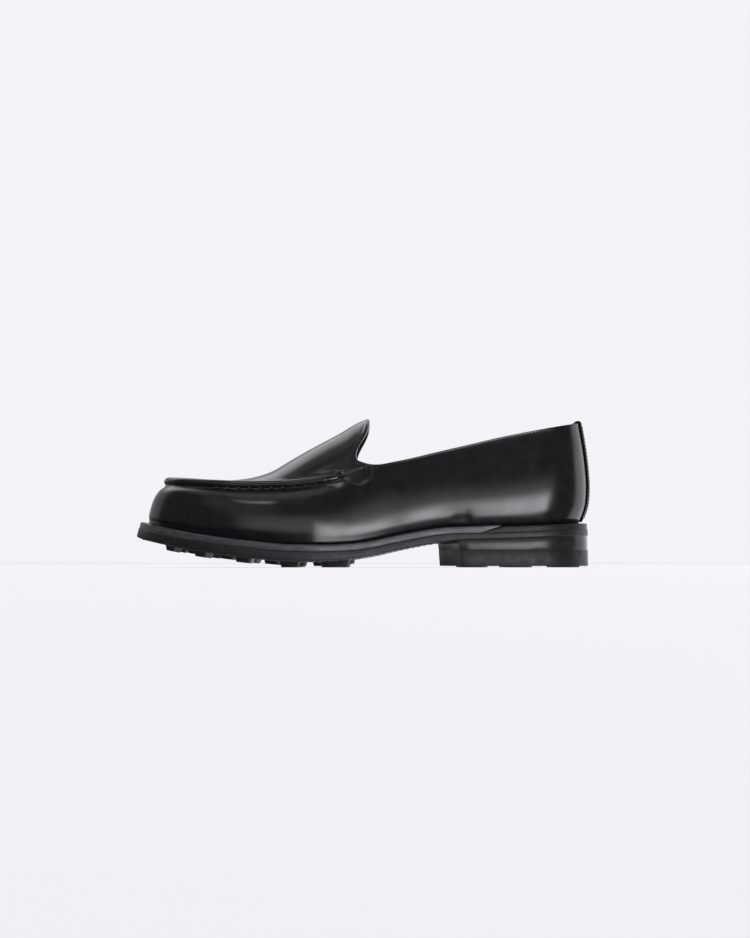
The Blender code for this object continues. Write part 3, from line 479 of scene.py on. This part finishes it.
black_thread = waxed_thread("waxed_black_thread", (0.009, 0.009, 0.010), 0.6)
sole_thread = waxed_thread("waxed_sole_thread", (0.02, 0.02, 0.021), 0.5)


# The upper
def faces_out(centre, normal):
    """Whether a face of the upper's wall is on the outside of the shoe."""
    station = station_of(centre)
    axis = at(min(max(station, 32.0), 258.0), 2.0 if station > 180 else 0.0, 50 if station < 150 else 36)
    over_apron = normal.z > 0.15 and centre.z > 0.046 and station > 141
    return (centre - axis).dot(normal) > 0 or over_apron


outer_top = [at(s, a, h) for s, a, _, h in TOP_ROWS]
inner_top = [at(s, b, h) for s, _, b, h in TOP_ROWS]
outer_tongue = [at(s, a, h) for s, a, _, h in TONGUE_ROWS]
inner_tongue = [at(s, b, h) for s, _, b, h in TONGUE_ROWS]
collar_line = curve_through(
    outer_top + outer_tongue + inner_tongue[-2::-1] + inner_top[:0:-1], closed=True
)
seam_line = curve_through(
    [at(s, a, h) for s, a, _, _, h in SEAM_ROWS] + [at(s, a, h) for _, _, s, a, h in SEAM_ROWS[-2::-1]]
)
from_collar = distances(collar_line)
from_seam = distances(seam_line)

upper = merged_copy("upper", "calf_upper")
finish_with(upper, calf, lining_leather)
for face in upper.data.polygons:
    face.material_index = 0 if faces_out(face.center, face.normal) else 1
rounded(upper)

# The fold of leather where the apron seam ends, below the tongue: a rim below and a crease above,
# each given by stations and heights on the shoe's side
FOLD_RIM = (
    (168.0, 58.2), (164.5, 57.2), (156.7, 55.0), (151.2, 53.6),
    (146.2, 55.5), (142.4, 59.5), (141.2, 64.0),
)
FOLD_CREASE = ((166.0, 59.8), (161.6, 62.0), (153.2, 63.9), (148.3, 64.9))
skin = skin_of(upper)
rims, creases = [], []
for side in (OUTER, INNER):
    rims += curve_through([on_side(skin, s, h, side) for s, h in FOLD_RIM])
    creases += curve_through([on_side(skin, s, h, side) for s, h in FOLD_CREASE])
from_fold = distances(rims + creases)

refine(upper, lambda c: from_collar(c) < 3.0 * MM or from_seam(c) < 3.7 * MM or from_fold(c) < 3.0 * MM)
refine(upper, lambda c: from_seam(c) < 2.5 * MM or from_fold(c) < 1.6 * MM)
press(upper, rims, -0.35, 0.7)
press(upper, creases, -0.3, 0.8)

# A shallow dent in the outer side, above the waist
press(upper, [on_side(skin, s, h, OUTER) for s, h in ((88, 31), (84, 31.5))], 0.5, 4.5)

# Toward the toe the apron lies lower behind its seam
apron = set()
for face in upper.data.polygons:
    if face.material_index == 0 and face.normal.z > 0.5 and face.center.z > 53 * MM:
        apron.update(face.vertices)
for index in apron:
    place = upper.data.vertices[index].co
    place.z -= APRON_DROP * MM * eased(station_of(place), 186, 228) * eased(from_seam(place) / MM, 3, 9)
upper.data.update()

# The gathered leather of the apron seam stands up as a thick roll
roll = []
for before, place in zip(seam_line, seam_line[1:]):
    if station_of(place) > 166:
        roll.append(place + UP.cross(place - before).normalized() * 0.9 * MM + UP * 1.9 * MM)
press(upper, roll, -1.7, 2.8)

# The hand sewing pulls the raised seam in at each hole, and the leather swells between the holes
skin = skin_of(upper)
sewn = spaced([p for p in seam_line if station_of(p) >= SEWN_FROM], HAND_PITCH)
holes, swells, pulls, hand_places = [], [], [], []
for (place, along), (after, _) in zip(sewn, sewn[1:] + sewn[-1:]):
    out = UP.cross(along).normalized()
    hole, normal = nearest(skin, place + out * HAND_ROW_OUT * MM + UP * 0.1 * MM)
    rise = normal.cross(along).normalized()
    rise = rise if rise.z > 0 else -rise
    lean = (rise + along * 0.5).normalized()
    holes += [hole + lean * (k * 0.2 * MM) for k in range(-3, 4)]
    pulls += [place + normal * 1.6 * MM + rise * 1.2 * MM, place + UP * 2.4 * MM]
    hand_places.append((hole - normal * 0.5 * MM, lean, normal))
    middle, _ = nearest(skin, (place + after) / 2 + out * HAND_ROW_OUT * MM + UP * 0.6 * MM)
    swells.append(middle)
press(upper, swells, -0.06, 1.9)
press(upper, pulls, 0.06, 1.3)
press(upper, holes, 0.5, 0.5)

# A fine line of sewing holds the quarters' turned edge down, a groove sets off the tongue's, and a fine
# bead runs along the whole edge
skin = skin_of(upper)
top_sewing, tongue_groove, bead = [], [], []
for place, along in spaced(collar_line, FINE_PITCH):
    found, normal = nearest(skin, place)
    into = normal.cross(along).normalized()
    if into.dot(Vector((-0.4, 0, -0.9))) < 0:
        into = -into
    bead.append(nearest(skin, found + into * BEAD_IN * MM)[0])
    found, normal = nearest(skin, found + into * SEWING_IN * MM)
    if station_of(found) < 141:
        top_sewing.append((found, along, normal))
    else:
        tongue_groove.append(found)
press(upper, [place for place, _, _ in top_sewing], 0.22, 0.9)
press(upper, curve_through(tongue_groove), 0.3, 0.7)
press(upper, curve_through(bead), -0.2, 0.6)

# The black leather is turned in over the edge, deeper at the tongue, and under the upper's foot
for face in upper.data.polygons:
    turned = TURNED_IN + TURNED_IN_MORE * eased(station_of(face.center), 126, 142)
    underfoot = face.center.z < 0.035 and face.normal.z < -0.6
    if from_collar(face.center) < turned * MM or underfoot:
        face.material_index = 0

strip = merged_copy("back_strip", "back_strip_leather")
finish_with(strip, strip_calf)
rounded(strip)

# The pieces under the foot, with their edges softened and the hairlines between them closed
dressed = {}
for node, name, finish, softened, up, down in (
    ("insole", "sock", sock_leather, 0.6, 0, 0),
    ("welt", "sewn_welt", welt_leather, 0.2, 0, HAIRLINE),
    ("heel_rand", "rand_edge", rand_leather, 0.2, 0, HAIRLINE),
    ("outsole", "studded_sole", rubber, 0.25, 0, 0),
    ("heel_lift", "stacked_lift", stack_leather, 0.25, HAIRLINE, HAIRLINE),
    ("heel_top_piece", "rubber_top_piece", heel_rubber, 0.25, 0, 0),
):
    piece = dressed[node] = merged_copy(node, name)
    finish_with(piece, finish)
    close_gap(piece, up, down)
    apply(piece, "BEVEL", width=softened * MM, segments=2, limit_method="ANGLE", angle_limit=SHARP)
    bpy.ops.object.shade_smooth_by_angle(angle=SHARP)


# Sewing
def one_stitch(length, width):
    """One stitch lying along X, round and narrower at its two ends."""
    deselect()
    bpy.ops.mesh.primitive_cylinder_add(
        vertices=6, radius=width / 2 * MM, depth=length * 0.5 * MM, rotation=(0, math.pi / 2, 0)
    )
    stitch = bpy.context.object
    bpy.ops.object.transform_apply(location=False, rotation=True, scale=False)
    for end in (-1, 1):
        for reach, left in ((0.15, 0.82), (0.10, 0.45)):
            bpy.ops.object.mode_set(mode="EDIT")
            bpy.ops.mesh.select_mode(type="FACE")
            bpy.ops.mesh.select_all(action="DESELECT")
            bpy.ops.object.mode_set(mode="OBJECT")
            for face in stitch.data.polygons:
                face.select = face.normal.x * end > 0.9
            bpy.ops.object.mode_set(mode="EDIT")
            step = end * length * reach * MM
            bpy.ops.mesh.extrude_region_move(TRANSFORM_OT_translate={"value": (step, 0, 0)})
            bpy.ops.transform.resize(value=(1, left, left), center_override=(0, 0, 0))
            bpy.ops.object.mode_set(mode="OBJECT")
    bpy.ops.object.shade_smooth()
    return stitch


def sew(name, stitch, places, finish):
    """A row of sewing: the stitch copied to each place, along and square to the leather there."""
    copies = []
    for place, along, out in places:
        side = out.cross(along).normalized()
        turn = Matrix((side.cross(out), side, out)).transposed().to_4x4()
        copy = stitch.copy()
        copy.data = stitch.data.copy()
        copy.data.transform(Matrix.Translation(place) @ turn)
        bpy.context.scene.collection.objects.link(copy)
        copies.append(copy)
    deselect()
    for copy in copies:
        copy.select_set(True)
    row = copies[0]
    bpy.context.view_layer.objects.active = row
    bpy.ops.object.join()
    row.name = row.data.name = name
    finish_with(row, finish)
    declare(row)
    bpy.data.objects.remove(stitch)


sew("apron_hand_sewing", one_stitch(*HAND_STITCH), hand_places, black_thread)
sew("collar_sewing", one_stitch(*FINE_STITCH), top_sewing, black_thread)

# The strip's two rows, from above the rand to the top line
strip_skin = skin_of(strip)
strip_sewing = []
for turn in (-STRIP_ROW_TURN, STRIP_ROW_TURN):
    out = Vector((math.cos(turn), math.sin(turn), 0))
    row = []
    for k in range(60):
        found, _, _, _ = strip_skin.ray_cast(at(34, 0, 33 + k) + out * 90 * MM, -out)
        if found:
            row.append(found)
    for place, along in spaced(row, FINE_PITCH):
        strip_sewing.append((place, along, nearest(strip_skin, place)[1]))
sew("back_strip_sewing", one_stitch(*FINE_STITCH), strip_sewing, black_thread)

# The welt's sewing on top, and the row that comes out under the rubber's rim
welt_skin, sole_skin = skin_of(dressed["welt"]), skin_of(dressed["outsole"])
sole_edge = curve_through(
    [at(s, a, h + rubber_edge) for s, a, _, _, h, rubber_edge in SOLE_ROWS]
    + [at(s, a, h + rubber_edge) for _, _, s, a, h, rubber_edge in SOLE_ROWS[-2::-1]]
)
welt_sewing, under_sewing = [], []
for place, along in spaced(sole_edge, WELT_PITCH):
    out = UP.cross(along).normalized()
    found, normal, _, _ = welt_skin.ray_cast(place - out * WELT_ROW_IN * MM + UP * 8 * MM, -UP)
    if found and normal.z > 0.7:
        welt_sewing.append((found, along, normal))
for place, along in spaced(sole_edge, SOLE_PITCH):
    out = UP.cross(along).normalized()
    found, normal, _, _ = sole_skin.ray_cast(place - out * SOLE_ROW_IN * MM - UP * 14 * MM, UP)
    if found and normal.z < -0.7 and station_of(place) > 92:
        under_sewing.append((found, along, normal))
sew("welt_sewing", one_stitch(*WELT_STITCH), welt_sewing, sole_thread)
sew("sole_sewing", one_stitch(*SOLE_STITCH), under_sewing, sole_thread)

# Floor
paper = bpy.data.materials.new("pale_paper")
paper.use_nodes = True
paper_shader = paper.node_tree.nodes["Principled BSDF"]
paper_shader.inputs["Base Color"].default_value = (0.30, 0.295, 0.31, 1)
paper_shader.inputs["Roughness"].default_value = 0.9
paper_shader.inputs["Specular IOR Level"].default_value = 0.1
paper_shader.inputs["Emission Color"].default_value = (0.89, 0.875, 0.915, 1)
paper_shader.inputs["Emission Strength"].default_value = 0.69
deselect()
bpy.ops.mesh.primitive_plane_add(size=40, location=(0, 0, -0.1 * MM))
floor = bpy.context.object
floor.name = "paper_floor"
finish_with(floor, paper)
floor.visible_glossy = False

# Surroundings: what the shoe reflects, and a plain pale backdrop for the camera
world = bpy.data.worlds.new("studio")
bpy.context.scene.world = world
world.use_nodes = True
sky = world.node_tree


def maths(operation, *values):
    """A node that does sums on numbers and other nodes' results."""
    node = sky.nodes.new("ShaderNodeMath")
    node.operation = operation
    for socket, value in zip(node.inputs, values):
        if isinstance(value, (int, float)):
            socket.default_value = value
        else:
            sky.links.new(value, socket)
    return node.outputs[0]


def ramp(value, low, high):
    """Rises softly from 0 to 1 between two values."""
    node = sky.nodes.new("ShaderNodeMapRange")
    node.interpolation_type = "SMOOTHSTEP"
    node.inputs["From Min"].default_value = low
    node.inputs["From Max"].default_value = high
    sky.links.new(value, node.inputs["Value"])
    return node.outputs["Result"]


direction = sky.nodes.new("ShaderNodeTexCoord")
parts = sky.nodes.new("ShaderNodeSeparateXYZ")
sky.links.new(direction.outputs["Generated"], parts.inputs[0])
toward_camera = maths("MULTIPLY", parts.outputs["Y"], -1.0)
round_angle = maths("DEGREES", maths("ARCTAN2", parts.outputs["X"], toward_camera))
height_angle = maths("DEGREES", maths("ARCSINE", parts.outputs["Z"]))


def soft_panel(left, right, low, high, sides, ends, strength):
    """A soft white panel in the surroundings: degrees round from the camera's side, and up."""
    glow = maths("MULTIPLY", ramp(round_angle, left - sides, left + sides),
                 maths("SUBTRACT", 1.0, ramp(round_angle, right - sides, right + sides)))
    rise = maths("MULTIPLY", ramp(height_angle, low - ends[0], low + ends[0]),
                 maths("SUBTRACT", 1.0, ramp(height_angle, high - ends[1], high + ends[1])))
    return maths("MULTIPLY", maths("MULTIPLY", glow, rise), strength)


# Round from the camera's side, more degrees are toward the heel and fewer toward the toe
panels = [
    # Low, on the camera's side
    soft_panel(-22, 30, -7, 14, 10, (4, 12), 1.1),
    # Overhead, all round
    soft_panel(-200, 200, 74, 95, 5, (6, 1), 0.5),
    # A small bright one, high on the camera's side
    soft_panel(-25, -10, 58, 67, 4, (4, 4), 5.0),
    # Faint ones toward the toe
    soft_panel(-150, -70, 46, 72, 14, (8, 8), 0.35),
    soft_panel(-90, -20, 50, 70, 14, (8, 8), 0.12),
    soft_panel(-60, -4, 18, 52, 10, (10, 10), 0.3),
    # Low behind the shoe, at the heel's end and at the toe's
    soft_panel(90, 190, -60, 26, 6, (10, 12), 1.4),
    soft_panel(-190, -104, 0, 34, 6, (6, 12), 0.4),
    # High behind the shoe, at the toe's end and at the heel's
    soft_panel(-190, -120, 30, 60, 12, (8, 8), 1.9),
    soft_panel(96, 190, 30, 70, 12, (8, 8), 1.0),
]
FAINT_ROOM_LIGHT = 0.12
total = maths("ADD", FAINT_ROOM_LIGHT, panels[0])
for panel in panels[1:]:
    total = maths("ADD", total, panel)

# Nothing shines up from below on the camera's side, toward the toe
unlit = maths("MULTIPLY", maths("SUBTRACT", 1.0, ramp(height_angle, -10, 0)),
              maths("SUBTRACT", 1.0, ramp(round_angle, 0, 4)))
unlit = maths("MULTIPLY", unlit, ramp(round_angle, -110, -100))
total = maths("MULTIPLY", total, maths("SUBTRACT", 1.0, unlit))

COOL_WHITE = (0.965, 0.955, 1.0)
reflected = sky.nodes["Background"]
reflected.inputs["Color"].default_value = (*COOL_WHITE, 1)
sky.links.new(total, reflected.inputs["Strength"])
seen = sky.nodes.new("ShaderNodeBackground")
seen.inputs["Color"].default_value = (0.905, 0.892, 0.925, 1)
mix = sky.nodes.new("ShaderNodeMixShader")
ray = sky.nodes.new("ShaderNodeLightPath")
sky.links.new(ray.outputs["Is Camera Ray"], mix.inputs["Fac"])
sky.links.new(reflected.outputs["Background"], mix.inputs[1])
sky.links.new(seen.outputs["Background"], mix.inputs[2])
sky.links.new(mix.outputs["Shader"], sky.nodes["World Output"].inputs["Surface"])


def soft_light(name, place, target, width, height, power):
    light = bpy.data.lights.new(name, "AREA")
    light.shape = "RECTANGLE"
    light.size, light.size_y = width, height
    light.energy = power
    made = bpy.data.objects.new(name, light)
    bpy.context.scene.collection.objects.link(made)
    made.location = place
    made.rotation_euler = (Vector(target) - Vector(place)).to_track_quat("-Z", "Y").to_euler()
    made.visible_camera = False
    return made


overhead = soft_light("overhead", (0, 0.2, 1.8), (0, 0, 0), width=2.4, height=2.0, power=16)
overhead.visible_glossy = False

# The window that the outer side reflects is close by and reaches below the floor, so it passes the
# paper. It is three lights of growing size in one place, which makes its sides soft.
passed = bpy.data.collections.new("passed_by_the_window")
passed.objects.link(floor)
passed.collection_objects[0].light_linking.link_state = "EXCLUDE"
WINDOW_MIDDLE = Vector((0.185, -0.38, -0.0285))
WINDOW_SIZES = ((0.11, 0.11), (0.16, 0.15), (0.21, 0.19))
WINDOW_RADIANCE = 8.0
for width, height in WINDOW_SIZES:
    power = math.pi * width * height * WINDOW_RADIANCE / 3
    pane = soft_light("window", WINDOW_MIDDLE, WINDOW_MIDDLE + Vector((0, 1, 0)), width, height, power)
    pane.data.color = COOL_WHITE
    pane.light_linking.receiver_collection = passed
    pane.light_linking.blocker_collection = passed

# The camera looks slightly up at the outer side, from just above the floor
LOOKS_AT = at(141.2, 0, 65.3)
STANDS_BACK = Vector((0, -1.040, -0.0623))
camera_data = bpy.data.cameras.new("camera")
camera = bpy.data.objects.new("camera", camera_data)
bpy.context.scene.collection.objects.link(camera)
bpy.context.scene.camera = camera
camera_data.lens = 60.0
camera_data.sensor_width = 36.0
camera_data.clip_start = 0.01
camera.location = LOOKS_AT + STANDS_BACK
camera.rotation_euler = (LOOKS_AT - camera.location).to_track_quat("-Z", "Y").to_euler()
bpy.context.scene.view_settings.view_transform = "Standard"
